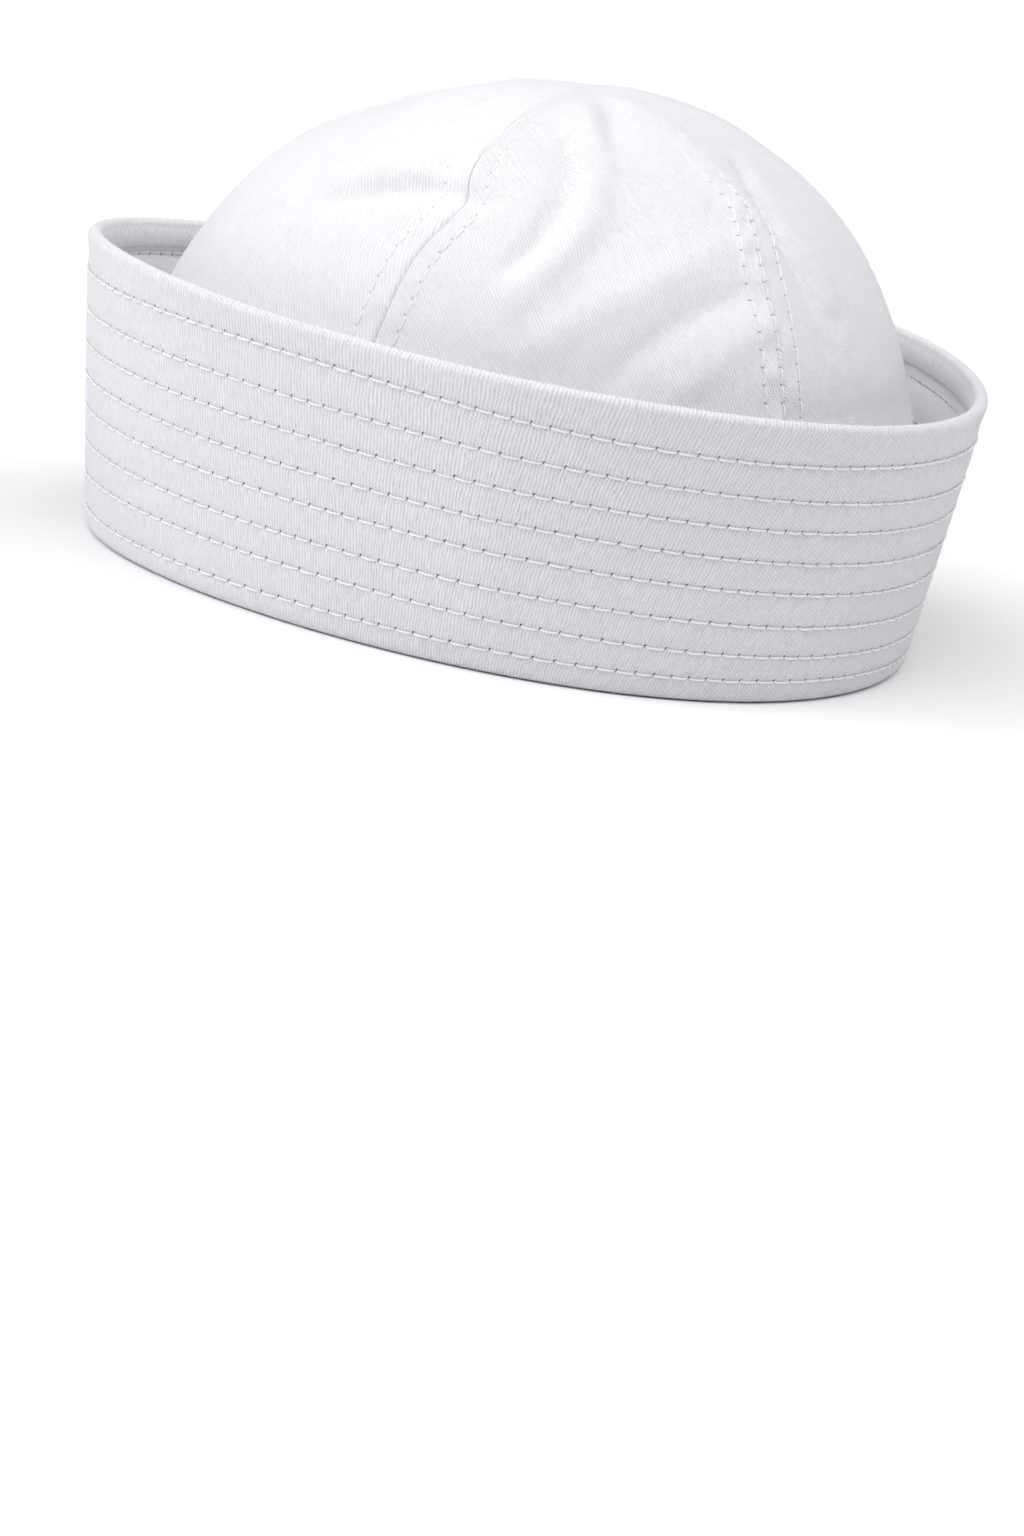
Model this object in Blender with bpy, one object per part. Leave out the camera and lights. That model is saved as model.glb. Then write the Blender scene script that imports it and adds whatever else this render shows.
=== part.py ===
"""Sailor cap of white cotton twill: a six-panel crown, and a stitched two-ply brim turned up all round it.

Metres, +Z up. The cap stands on the fold at the foot of its brim, its front faces -Y, and its origin is the
middle of that foot. A turn is the oval's own angle from the wearer's left (+X): the back is at 90 degrees and
the front at -90. A climb is the share of the way up the crown, from 0 at its foot to 1 at its top.
"""

import math

import bmesh
import bpy
import numpy as np

MM = 0.001

# The foot of the brim, seen from above: an egg that is narrower at the brow
HALF_LENGTH = 106.5 * MM
HALF_WIDTH = 92.2 * MM
BACK_FULLNESS = 0.16  # share by which the width grows towards the back

# The brim. Its rim isn't level: soft cloth stands a little higher in some places than in others.
BRIM_HEIGHT = 72.9 * MM
BRIM_FLARE = 8.8 * MM  # how far the rim stands out beyond the foot
FRONT_RISE = 1.6 * MM  # the rim is this much higher in front, and lower behind
RIM_TWIST = 1.6 * MM  # this much higher at left front and right back
RIM_WAVE = 0.9 * MM  # and waves this much three times round
BRIM_PLY = 1.0 * MM
LIP_DEPTH = 7.0 * MM  # the outer ply turns over the rim and ends this far below it
FOOT_RADIUS = 3.0 * MM
FACING_RADIUS = 1.4 * MM
FACING_HEIGHT = 10.0 * MM  # the outer ply turns under the foot and up inside the crown

# The crown
CROWN_HEIGHT = 129.6 * MM
CROWN_FULLNESS = 2.39  # 2 is an ellipsoid, and more is squarer in the shoulder
CROWN_LEAN = 4.4 * MM  # the top lies this far behind the middle
CROWN_CLOTH = 1.2 * MM
SEAM_ALLOWANCE = 6.5 * MM  # the hem turned in beside each seam
SEAM_EXTRA = 0.5 * MM  # and the thickness it adds
HEM_MOST = 0.2  # towards its tip a panel is narrow, and a hem takes up at most this share of it
HEM_SLOPE = 0.2  # the step at a hem's edge is this share of its width
TIP_RADIUS = 1.2 * MM  # where the panels' tips are trimmed

CLEARANCE = 0.3 * MM  # between neighbouring pieces

# The crown's seams. On its way up each drifts and bows to one side, and is pulled askew at one climb. These
# are degrees of turn, and the drift is for the whole climb.
SEAM_COLUMNS = ("turn", "drift", "bow", "pull", "pull_climb")
SEAMS = (
    (-21.1, 3.0, 0.0, 4.0, 0.55),
    (45.6, 0.0, 0.0, 3.0, 0.64),
    (103.0, 0.0, 1.5, -2.0, 0.60),
    (159.0, 0.0, -1.0, 2.0, 0.48),
    (212.0, 0.0, 1.0, -2.2, 0.62),
    (265.0, 0.0, -1.0, 1.8, 0.50),
)
PULL_LENGTH = 0.07  # how much of the climb a pull takes up

# The crown's folds. Each runs from its start through its middle to its end. Width and height are shares of
# the crown's height, and a negative height is a valley. The wide ones are where the dome is slack or full.
FOLD_COLUMNS = (
    "start_turn", "start_climb", "middle_turn", "middle_climb", "end_turn", "end_climb", "width", "height",
)
FOLDS = (
    # the slack and full parts of the dome
    (-136.0, 0.86, -97.0, 0.76, -48.0, 0.66, 0.130, -0.021),
    (178.0, 0.92, 133.0, 0.90, 104.0, 0.76, 0.100, 0.009),
    # the crest that comes down from the top at the left, and the valleys on both sides of it
    (3.0, 0.92, 7.0, 0.64, -6.0, 0.40, 0.032, 0.018),
    (-3.0, 0.79, 1.0, 0.62, -6.0, 0.46, 0.020, -0.014),
    (22.0, 0.95, 10.0, 0.84, 13.0, 0.69, 0.022, -0.014),
    (14.0, 0.70, 13.0, 0.56, 1.0, 0.42, 0.020, -0.008),
    # the folds that fan out from the second seam
    (44.0, 0.58, 20.0, 0.47, 0.0, 0.32, 0.035, 0.009),
    (27.0, 0.63, 13.0, 0.53, 3.0, 0.41, 0.026, -0.008),
    (46.0, 0.51, 27.0, 0.42, 14.0, 0.31, 0.030, -0.010),
    (46.0, 0.45, 33.0, 0.38, 22.0, 0.28, 0.028, 0.008),
    # across the first seam
    (-52.0, 0.54, -38.0, 0.60, -26.0, 0.63, 0.032, 0.008),
    (-42.0, 0.50, -27.0, 0.58, -12.0, 0.575, 0.026, -0.013),
    # behind the second seam
    (61.0, 0.78, 52.5, 0.63, 54.0, 0.46, 0.020, -0.012),
    (61.0, 0.56, 60.5, 0.50, 60.0, 0.45, 0.022, 0.007),
    (60.0, 0.46, 59.0, 0.42, 57.0, 0.38, 0.018, -0.008),
    (78.0, 0.72, 87.0, 0.61, 91.0, 0.48, 0.030, 0.006),
    # the far side
    (150.0, 0.78, 141.0, 0.62, 146.0, 0.42, 0.036, 0.012),
    (136.0, 0.66, 130.0, 0.55, 133.0, 0.42, 0.030, -0.009),
    (186.0, 0.50, 196.0, 0.58, 208.0, 0.63, 0.034, 0.010),
    (188.0, 0.42, 200.0, 0.47, 212.0, 0.50, 0.030, -0.009),
    (236.0, 0.82, 241.0, 0.64, 237.0, 0.46, 0.034, 0.012),
    (250.0, 0.62, 253.0, 0.52, 248.0, 0.40, 0.032, -0.009),
)
FOLDS_BEGIN = 0.10  # there are none below this share of the crown's height, where the facing holds it
FOLDS_FULL = 0.30  # and they are full above this one

# How finely the round forms are divided
ROUND_STEPS = 64
HIDDEN_STEPS = 2
SEEN_STEPS = 15
PANEL_STEPS = 8
BEAD_STEPS = 6
POCKET_STEPS = 4
FOOT_STEPS = 4
FACING_STEPS = 2
FOLD_LINE_STEPS = 8

BRIM_WALL = 2 * BRIM_PLY + CLEARANCE
CROWN_INSET = BRIM_WALL + CLEARANCE
FOOT_WIDTH = CROWN_INSET + CROWN_CLOTH + SEAM_EXTRA + CLEARANCE + BRIM_PLY
BEAD_RADIUS = (3 * BRIM_PLY + 2 * CLEARANCE) / 2
SEEN_HEIGHT = 0.75 * BRIM_HEIGHT  # the brim hides the crown up to about here

TWILL_COLOUR = (0.86, 0.86, 0.885, 1.0)
TWILL_ROUGHNESS = 0.9
SHARP_EDGE = math.radians(50)


def rows_of(table, columns):
    """The table's rows as dictionaries."""
    return [dict(zip(columns, row)) for row in table]


def smooth_step(value, low, high):
    share = np.clip((value - low) / (high - low), 0.0, 1.0)
    return share * share * (3 - 2 * share)


def foot_oval(turn, outward=0.0):
    """A point of the foot's oval, moved outward square to it."""
    sine, cosine = np.sin(turn), np.cos(turn)
    x = HALF_WIDTH * cosine * (1 + BACK_FULLNESS * sine)
    y = HALF_LENGTH * sine
    along_x = HALF_WIDTH * (-sine + BACK_FULLNESS * (cosine**2 - sine**2))
    along_y = HALF_LENGTH * cosine
    length = np.hypot(along_x, along_y)
    return x + outward * along_y / length, y - outward * along_x / length


def rim_height(turn):
    lift = -FRONT_RISE * math.sin(turn) - RIM_TWIST * math.sin(2 * turn) + RIM_WAVE * math.sin(3 * turn)
    return BRIM_HEIGHT + lift


def flare(z, top):
    """How far the brim leans out at a height."""
    return BRIM_FLARE * (z - FOOT_RADIUS) / (top - FOOT_RADIUS)


def arc(centre, radius, start, end, steps):
    """Points of an arc, with angles in degrees from the outward direction."""
    angles = np.radians(np.linspace(start, end, steps + 1))
    return [(centre[0] + radius * math.cos(a), centre[1] + radius * math.sin(a)) for a in angles]


def outer_ply_section(turn):
    """The outer ply: over the rim, down, round the foot and up inside, as (outward, height) points."""
    top = rim_height(turn)
    lip_end = top - LIP_DEPTH
    lip_face = flare(lip_end, top) - 2 * BEAD_RADIUS
    bead = (flare(top - BEAD_RADIUS, top) - BEAD_RADIUS, top - BEAD_RADIUS)
    foot = (-FOOT_RADIUS, FOOT_RADIUS)
    facing = (FACING_RADIUS - FOOT_WIDTH, FACING_RADIUS)

    outside = [(lip_face, lip_end)]
    outside += arc(bead, BEAD_RADIUS, 180, 0, BEAD_STEPS)
    outside += arc(foot, FOOT_RADIUS, 0, -90, FOOT_STEPS)
    outside += arc(facing, FACING_RADIUS, -90, -180, FACING_STEPS)
    outside += [(-FOOT_WIDTH, FACING_HEIGHT)]

    inside = [(BRIM_PLY - FOOT_WIDTH, FACING_HEIGHT)]
    inside += arc(facing, FACING_RADIUS - BRIM_PLY, -180, -90, FACING_STEPS)
    inside += arc(foot, FOOT_RADIUS - BRIM_PLY, -90, 0, FOOT_STEPS)
    inside += arc(bead, BEAD_RADIUS - BRIM_PLY, 0, 180, POCKET_STEPS)
    inside += [(lip_face + BRIM_PLY, lip_end)]
    return outside + inside


def inner_ply_section(turn):
    """The inner ply: a plain wall that ends in the pocket under the lip."""
    top = rim_height(turn)
    low, high = FOOT_RADIUS, top - BEAD_RADIUS
    outer_face, inner_face = BRIM_PLY + CLEARANCE, BRIM_WALL
    lean = flare(high, top)
    return [(lean - outer_face, high), (-outer_face, low), (-inner_face, low), (lean - inner_face, high)]


def climb_angle(z):
    return math.asin((z / CROWN_HEIGHT) ** (CROWN_FULLNESS / 2))


LOW_ANGLE = climb_angle(FOOT_RADIUS)
HIGH_ANGLE = math.acos((TIP_RADIUS / HALF_LENGTH) ** (CROWN_FULLNESS / 2))


def climb_at(z):
    """The climb at a height."""
    return (climb_angle(z) - LOW_ANGLE) / (HIGH_ANGLE - LOW_ANGLE)


def crown_point(turn, climb):
    """A point of the crown's smooth outer surface."""
    angle = LOW_ANGLE + (HIGH_ANGLE - LOW_ANGLE) * climb
    rise = np.sin(angle) ** (2 / CROWN_FULLNESS)
    reach = np.cos(angle) ** (2 / CROWN_FULLNESS)
    x, y = foot_oval(turn, -CROWN_INSET)
    sine = np.sin(turn)
    rounding = (1 + BACK_FULLNESS * reach * sine) / (1 + BACK_FULLNESS * sine)
    return np.stack([x * reach * rounding, y * reach + CROWN_LEAN * rise**2, CROWN_HEIGHT * rise], -1)


def crown_frame(turn, climb):
    """The smooth surface's point, its outward normal, and its length per radian of turn."""
    small = 1e-4
    here = crown_point(turn, climb)
    round_it = (crown_point(turn + small, climb) - crown_point(turn - small, climb)) / (2 * small)
    up_it = crown_point(turn, climb + small) - crown_point(turn, climb - small)
    normal = np.cross(round_it, up_it)
    normal /= np.linalg.norm(normal, axis=-1, keepdims=True)
    return here, normal, np.linalg.norm(round_it, axis=-1)


def seam_turn(seam, climb):
    """Where a seam lies at a climb, in radians."""
    swing = seam["drift"] * climb + seam["bow"] * np.sin(math.pi * climb)
    pull = seam["pull"] * np.exp(-(((climb - seam["pull_climb"]) / PULL_LENGTH) ** 2))
    return np.radians(seam["turn"] + swing + pull)


def fold_line(fold):
    """Points of the smooth surface along a fold."""
    s = np.linspace(0, 1, FOLD_LINE_STEPS + 1)
    weights = {"start": (1 - s) * (1 - 2 * s), "middle": 4 * s * (1 - s), "end": s * (2 * s - 1)}
    turn = sum(weight * fold[f"{place}_turn"] for place, weight in weights.items())
    climb = sum(weight * fold[f"{place}_climb"] for place, weight in weights.items())
    return crown_point(np.radians(turn), climb)


def fold_height(points):
    """How far the folds move points of the smooth surface outward."""
    moved = np.zeros(len(points))
    for fold in rows_of(FOLDS, FOLD_COLUMNS):
        line = fold_line(fold)
        nearest = np.full(len(points), np.inf)
        place = np.zeros(len(points))
        for step, (start, end) in enumerate(zip(line[:-1], line[1:])):
            along = end - start
            share = np.clip((points - start) @ along / (along @ along), 0, 1)
            distance = np.linalg.norm(points - start - share[:, None] * along, axis=1)
            place = np.where(distance < nearest, (step + share) / FOLD_LINE_STEPS, place)
            nearest = np.minimum(nearest, distance)
        taper = 1 - (2 * place - 1) ** 4
        slope = np.exp(-((nearest / (fold["width"] * CROWN_HEIGHT)) ** 2))
        moved += fold["height"] * CROWN_HEIGHT * taper * slope
    return moved * smooth_step(points[:, 2] / CROWN_HEIGHT, FOLDS_BEGIN, FOLDS_FULL)


def panel_rows():
    """The climbs at which a panel is divided: few where the brim hides it."""
    facing = climb_at(FACING_HEIGHT + CROWN_CLOTH)
    seen = climb_at(SEEN_HEIGHT)
    hidden = np.linspace(facing, seen, HIDDEN_STEPS + 1)[:-1]
    return np.concatenate([[0.0], hidden, np.linspace(seen, 1, SEEN_STEPS + 1)])


def panel_columns(width, length_per_radian):
    """Places across a panel, with the seam allowance's edge and the step beyond it on both sides."""
    hem = min(SEAM_ALLOWANCE / length_per_radian, width * HEM_MOST)
    step = hem * (1 + HEM_SLOPE)
    middle = np.linspace(step, width - step, PANEL_STEPS + 1)
    return np.concatenate([[0.0, hem], middle, [width - hem, width]])


def panel_surfaces(left, right):
    """The outer and inner faces of the panel between two seams, as grids of points."""
    outer, inner = [], []
    extra = np.zeros(PANEL_STEPS + 5)
    extra[[0, 1, -2, -1]] = SEAM_EXTRA
    for climb in panel_rows():
        start, end = seam_turn(left, climb), seam_turn(right, climb)
        per_radian = float(crown_frame((start + end) / 2, climb)[2])
        start += CLEARANCE / 2 / float(crown_frame(start, climb)[2])
        end -= CLEARANCE / 2 / float(crown_frame(end, climb)[2])
        turns = start + panel_columns(end - start, per_radian)
        points, normals, _ = crown_frame(turns, np.full(len(turns), climb))
        points = points + normals * fold_height(points)[:, None]
        outer.append(points)
        inner.append(points - normals * (CROWN_CLOTH + extra)[:, None])
    return outer, inner


def twill(name):
    """White cotton twill."""
    material = bpy.data.materials.new(name)
    material.use_nodes = True
    shader = material.node_tree.nodes["Principled BSDF"]
    shader.inputs["Base Color"].default_value = TWILL_COLOUR
    shader.inputs["Roughness"].default_value = TWILL_ROUGHNESS
    shader.inputs["Metallic"].default_value = 0.0
    return material


def finish(name, mesh, cap):
    """Turns a bmesh into a piece of the cap, with its faces pointing out."""
    bmesh.ops.recalc_face_normals(mesh, faces=mesh.faces)
    data = bpy.data.meshes.new(name)
    mesh.to_mesh(data)
    mesh.free()
    data.shade_smooth()
    data.set_sharp_from_angle(angle=SHARP_EDGE)
    data.materials.append(twill(f"{name}_twill"))
    made = bpy.data.objects.new(name, data)
    made.parent = cap
    bpy.context.scene.collection.objects.link(made)
    return made


def ring(name, section, cap):
    """A closed section carried round the foot's oval."""
    mesh = bmesh.new()
    loops = []
    for turn in np.linspace(0, 2 * math.pi, ROUND_STEPS, endpoint=False):
        loops.append([mesh.verts.new((*foot_oval(turn, outward), z)) for outward, z in section(turn)])
    for here, there in zip(loops, loops[1:] + loops[:1]):
        for k in range(len(here)):
            mesh.faces.new((here[k - 1], there[k - 1], there[k], here[k]))
    return finish(name, mesh, cap)


def panel(name, left, right, cap):
    """One gore of the crown."""
    mesh = bmesh.new()
    surfaces = panel_surfaces(left, right)
    outside, inside = [[[mesh.verts.new(point) for point in row] for row in side] for side in surfaces]
    last_row, last_column = len(outside) - 1, len(outside[0]) - 1
    for side in (outside, inside):
        for r in range(last_row):
            for c in range(last_column):
                mesh.faces.new((side[r][c], side[r][c + 1], side[r + 1][c + 1], side[r + 1][c]))
    for c in range(last_column):
        for r in (0, last_row):
            mesh.faces.new((outside[r][c], outside[r][c + 1], inside[r][c + 1], inside[r][c]))
    for r in range(last_row):
        for c in (0, last_column):
            mesh.faces.new((outside[r][c], outside[r + 1][c], inside[r + 1][c], inside[r][c]))
    return finish(name, mesh, cap)


def build():
    for old in list(bpy.data.objects):
        bpy.data.objects.remove(old)
    cap = bpy.data.objects.new("sailor_cap", None)
    bpy.context.scene.collection.objects.link(cap)
    ring("brim_outer_ply", outer_ply_section, cap)
    ring("brim_inner_ply", inner_ply_section, cap)
    seams = rows_of(SEAMS, SEAM_COLUMNS)
    last = dict(seams[0], turn=seams[0]["turn"] + 360)
    for number, (left, right) in enumerate(zip(seams, seams[1:] + [last]), 1):
        panel(f"crown_panel_{number}", left, right, cap)


build()
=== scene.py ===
"""How the sailor cap looks: its cloth with every fold, roll and sewn channel, and each stitch as thread.

Metres, +Z up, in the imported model's frame: the cap stands on the floor at z = 0 and faces -Y. A turn is the
oval's own angle from the wearer's left (+X): the back is at 90 degrees and the front at -90. A climb is the
share of the way up the crown, from 0 at its foot to 1 at its top.
"""

import math

import bpy
import numpy as np
from mathutils import Matrix


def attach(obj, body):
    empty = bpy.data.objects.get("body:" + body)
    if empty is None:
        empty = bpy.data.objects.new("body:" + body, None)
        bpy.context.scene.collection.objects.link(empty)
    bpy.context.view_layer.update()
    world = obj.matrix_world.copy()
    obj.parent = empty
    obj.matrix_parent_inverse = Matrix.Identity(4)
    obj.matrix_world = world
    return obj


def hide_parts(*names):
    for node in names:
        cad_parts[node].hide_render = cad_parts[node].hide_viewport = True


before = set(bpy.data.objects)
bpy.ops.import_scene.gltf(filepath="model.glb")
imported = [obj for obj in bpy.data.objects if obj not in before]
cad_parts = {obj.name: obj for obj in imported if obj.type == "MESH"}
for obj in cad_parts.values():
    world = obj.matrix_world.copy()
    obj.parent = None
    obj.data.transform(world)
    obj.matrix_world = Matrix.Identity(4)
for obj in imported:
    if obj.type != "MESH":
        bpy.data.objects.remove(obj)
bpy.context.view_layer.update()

MM = 0.001

# The foot of the brim, seen from above: an egg that is narrower at the brow
HALF_LENGTH = 106.5 * MM
HALF_WIDTH = 92.2 * MM
BACK_FULLNESS = 0.16  # share by which the width grows towards the back
OVAL_STEPS = 4000  # once round, where a length along the oval is measured

# The brim's wall
BRIM_HEIGHT = 72.9 * MM
BRIM_FLARE = 8.8 * MM
FRONT_RISE = 1.6 * MM  # the rim is this much higher at the front and lower at the back
RIM_TWIST = 1.6 * MM  # it rises and falls by this twice round
RIM_WAVE = 0.9 * MM  # and by this three times round
BRIM_PLY = 1.0 * MM
CLEARANCE = 0.3 * MM
LIP_DEPTH = 7.0 * MM
LIP_BULGE = 0.5 * MM  # the soft lip swells inward between the rim and its hem
LIP_ROUNDING = 0.7  # below 1, this swell is fuller near its ends
LIP_WAVE = 0.35 * MM  # its hem isn't quite level with the rim
LIP_WAVES = 5
RIM_DIP = 0.45 * MM  # the wall is thinner than the rolled rim, so it lies this much deeper under it
RIM_DIP_DEPTH = 4.0 * MM
FOOT_RADIUS = 3.0 * MM
FACING_RADIUS = 1.4 * MM
FACING_HEIGHT = 10.0 * MM
SWELL_HEIGHT = 5 * FOOT_RADIUS  # from here up the swells are full
INNER_SEWN_HEIGHT = 3 * FOOT_RADIUS  # from here up the inner ply has the rows' full relief

# Where the wall stands out of its even shape: a crest at a turn, falling away over its reach, in degrees
SWELL_COLUMNS = ("turn", "bluntness", "reach", "amount")
SWELLS = (
    (3.7, 1.6, 9.0, 1.5 * MM),
    (-38.0, 8.0, 12.0, 0.5 * MM),
    (58.0, 8.0, 14.0, -0.5 * MM),
    (118.0, 5.0, 12.0, 0.6 * MM),
    (176.0, 3.0, 10.0, 0.8 * MM),
    (228.0, 8.0, 14.0, -0.5 * MM),
    (276.0, 4.0, 12.0, 0.5 * MM),
)

# The rows of stitches round the brim, as shares of its height down from the rim. A row isn't quite
# level: it sways once, twice and four times round.
ROW_COLUMNS = ("share", "once", "twice", "twice_later", "four_times")
BRIM_ROWS = (
    (0.131, 0.010, 0.009, -0.006, 0.010),
    (0.261, 0.014, 0.001, -0.009, 0.004),
    (0.372, 0.012, -0.001, -0.008, 0.004),
    (0.484, 0.013, -0.001, -0.008, 0.0),
    (0.592, 0.017, -0.002, -0.008, 0.0),
    (0.710, 0.020, -0.003, -0.006, 0.0),
    (0.816, 0.018, 0.0, -0.008, 0.001),
    (0.920, 0.009, -0.009, -0.005, 0.002),
)
BRIM_STITCH = 4.8 * MM
ROW_SHIFT = 0.382  # each row starts this share of a stitch further on
PITCH_SWING = 0.20  # the stitches run this many stitches ahead and behind, so their length varies
PITCH_WAVES = 9
PITCH_SHIFT = 2.0  # and each row's waves start this many radians further on
GROOVE_DEPTH = 0.33 * MM
GROOVE_WIDTH = 0.70 * MM
PUFF = 0.16 * MM  # the cloth swells this much between two rows
PUFF_WIDTH = 3.4 * MM
PINCH = 0.25  # the share of a groove's depth that it has only close to a needle hole
PINCH_WIDTH = 0.9 * MM

# The crown
CROWN_HEIGHT = 129.6 * MM
CROWN_FULLNESS = 2.39  # the power of its rounded section: 2 would be an oval
CROWN_LEAN = 4.4 * MM  # how far its top leans back
CROWN_CLOTH = 1.2 * MM
SEAM_EXTRA = 0.5 * MM
TIP_RADIUS = 1.2 * MM
FINE_TIP = 1.0028  # the climb at which the cloth closes on the top

# The crown's seams. On its way up each drifts, bows and is pulled askew at one climb, in degrees. It
# puckers beside its stitches. Marks is how strongly its rows of stitches show, from 0 to 1, in relief and in
# the painted shade of their needle holes, and some seams have a third row close to the crease.
SEAM_COLUMNS = ("turn", "drift", "bow", "pull", "pull_climb", "pucker", "marks", "third_row")
SEAMS = (
    (-21.1, 3.0, 0.0, 3.4, 0.55, 0.18 * MM, 0.55, False),
    (45.6, 0.0, 0.0, 3.0, 0.64, 0.45 * MM, 1.0, True),
    (103.0, 0.0, 1.5, -2.0, 0.60, 0.14 * MM, 0.3, False),
    (159.0, 0.0, -1.0, 2.0, 0.48, 0.30 * MM, 0.7, False),
    (212.0, 0.0, 1.0, -2.2, 0.62, 0.40 * MM, 1.0, True),
    (265.0, 0.0, -1.0, 1.8, 0.50, 0.16 * MM, 0.3, False),
)
PULL_LENGTH = 0.07
LEFT_ROW = -6.2 * MM  # the rows of stitches, measured across from the seam
THIRD_ROW = -0.9 * MM
RIGHT_ROW = 5.1 * MM
ROW_CLIMBS = (0.06, 0.975)  # they run between these climbs
ROW_POINTS = 500
CROWN_STITCH = 4.3 * MM
FIRST_STITCH = 0.3  # the first row starts at this share of a stitch
ROW_MOST = 0.22  # towards its tip a panel is narrow, and a row lies at most this share of it from the seam
BAND_RISE = 0.24 * MM  # the allowances under the cloth lift it between the rows
BAND_ENDS = (0.97, 1.12)  # the lift ends here, as shares of the way from the seam to the row
SEAM_DEPTH = 0.50 * MM
SEAM_WIDTH = 0.45 * MM
ROW_GROOVE = 0.24 * MM
ROW_WIDTH = 0.42 * MM
SEAM_FADES = (0.64, 0.84)  # the crease, the rows and the puckers grow flatter between these climbs
SEAM_FADED = 0.18  # to this share of what they were
ROWS_FADE = (0.60, 0.74)  # between these climbs the stitches sink into the cloth and their holes close, and the painted shade in the holes fades
SUNK = 0.45 * MM
SEAM_LENGTH = 1.3 * CROWN_HEIGHT  # roughly: it gives the number of puckers
PUCKER_LENGTH = 12.0 * MM
PUCKER_SWAY = 0.6  # the puckers come early and late by this, in radians of their wave
PUCKER_SWAY_RATE = 0.37
RIGHT_PUCKER = 0.5  # to the right of a seam the puckers are lower, by this share
RELIEF_HEIGHTS = (12 * MM, 20 * MM)  # the seams' relief grows to its full depth between these heights
EDGE_GAP = 0.07 * MM  # between neighbouring panels, in the crease
CLOSED_GAP = 0.02 * MM  # near the top
GAP_MOST = 0.01  # of a panel's width, where that is narrow
ALLOWANCE_ENDS = (6.3 * MM, 7.6 * MM)  # inside, the allowances end between these distances from the edge

# The crown's folds. Each runs from its start through its middle to its end. Width and height are shares of
# the crown's height, and a negative height is a valley. The wide ones are where the dome is slack or full.
FOLD_COLUMNS = (
    "start_turn", "start_climb", "middle_turn", "middle_climb", "end_turn", "end_climb", "width", "height",
)
FOLDS = (
    # the slack and full parts of the dome
    (-136.0, 0.86, -97.0, 0.76, -48.0, 0.66, 0.130, -0.021),
    (178.0, 0.92, 133.0, 0.90, 104.0, 0.76, 0.100, 0.009),
    # the crest that comes down from the top at the left, and the valleys on both sides of it
    (1.0, 0.93, 9.5, 0.62, -4.0, 0.395, 0.039, 0.0145),
    (-1.5, 0.75, 2.6, 0.605, -4.6, 0.44, 0.021, -0.020),
    (22.4, 0.95, 16.5, 0.85, 15.0, 0.71, 0.030, -0.013),
    (13.7, 0.70, 12.5, 0.565, 0.5, 0.42, 0.024, -0.002),
    # the folds that fan out from the second seam
    (43.5, 0.575, 19.8, 0.47, 0.5, 0.323, 0.035, 0.0072),
    (27.0, 0.63, 12.8, 0.53, 2.7, 0.412, 0.026, -0.003),
    (47.5, 0.495, 29.0, 0.433, 14.7, 0.312, 0.031, -0.0095),
    (45.5, 0.45, 33.5, 0.374, 22.0, 0.281, 0.028, 0.005),
    # across the first seam
    (-51.8, 0.53, -37.5, 0.59, -26.2, 0.62, 0.034, 0.0072),
    (-45.0, 0.49, -23.5, 0.572, -9.5, 0.552, 0.024, -0.017),
    # behind the second seam
    (61.3, 0.775, 54.6, 0.62, 58.5, 0.43, 0.019, -0.0155),
    (61.2, 0.56, 62.2, 0.494, 60.5, 0.443, 0.026, 0.0055),
    (60.0, 0.46, 59.0, 0.42, 57.0, 0.38, 0.022, -0.004),
    (78.1, 0.722, 87.6, 0.616, 90.8, 0.479, 0.030, 0.0062),
    # the far side
    (150.0, 0.78, 141.0, 0.62, 146.0, 0.42, 0.036, 0.012),
    (136.0, 0.66, 130.0, 0.55, 133.0, 0.42, 0.030, -0.009),
    (186.0, 0.50, 196.0, 0.58, 208.0, 0.63, 0.034, 0.010),
    (188.0, 0.42, 200.0, 0.47, 212.0, 0.50, 0.030, -0.009),
    (236.0, 0.82, 241.0, 0.64, 237.0, 0.46, 0.034, 0.012),
    (250.0, 0.62, 253.0, 0.52, 248.0, 0.40, 0.032, -0.009),
)
FOLDS_GROW = (0.10, 0.30)  # they reach their full height between these shares of the crown's height
FOLD_LINE_STEPS = 24

# Thread
THREAD_RADIUS = 0.27 * MM
THREAD_SINK = 0.08 * MM  # how deep the brim's thread lies in the cloth
CROWN_THREAD_SINK = -0.06 * MM  # the crown's thread lies proud of it
INSIDE_THREAD_LIFT = 0.1 * MM  # and so does the thread inside the crown
THREAD_SIDES = 6
PLY_MARKS = 6.0  # the plies cross a stitch this many times
PLIES = 2.0
PLY_SHADE = 0.93  # the painted shade between two plies
# How a stitch lies: its share of the way from one needle hole to the next, its height over the cloth, how
# far it lies aside of its row, and its thickness
STITCH_PLACE, STITCH_LIFT, STITCH_ASIDE, STITCH_THICKNESS = np.transpose((
    (0.02, -0.35 * MM, 0.10 * MM, 0.7),
    (0.09, -0.02 * MM, -0.05 * MM, 0.9),
    (0.20, 0.15 * MM, -0.17 * MM, 1.0),
    (0.50, 0.20 * MM, -0.20 * MM, 1.05),
    (0.80, 0.15 * MM, -0.17 * MM, 1.0),
    (0.91, -0.02 * MM, -0.05 * MM, 0.9),
    (0.97, -0.35 * MM, 0.10 * MM, 0.7),
))
STITCH_UNEVEN = 0.06 * MM

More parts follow.
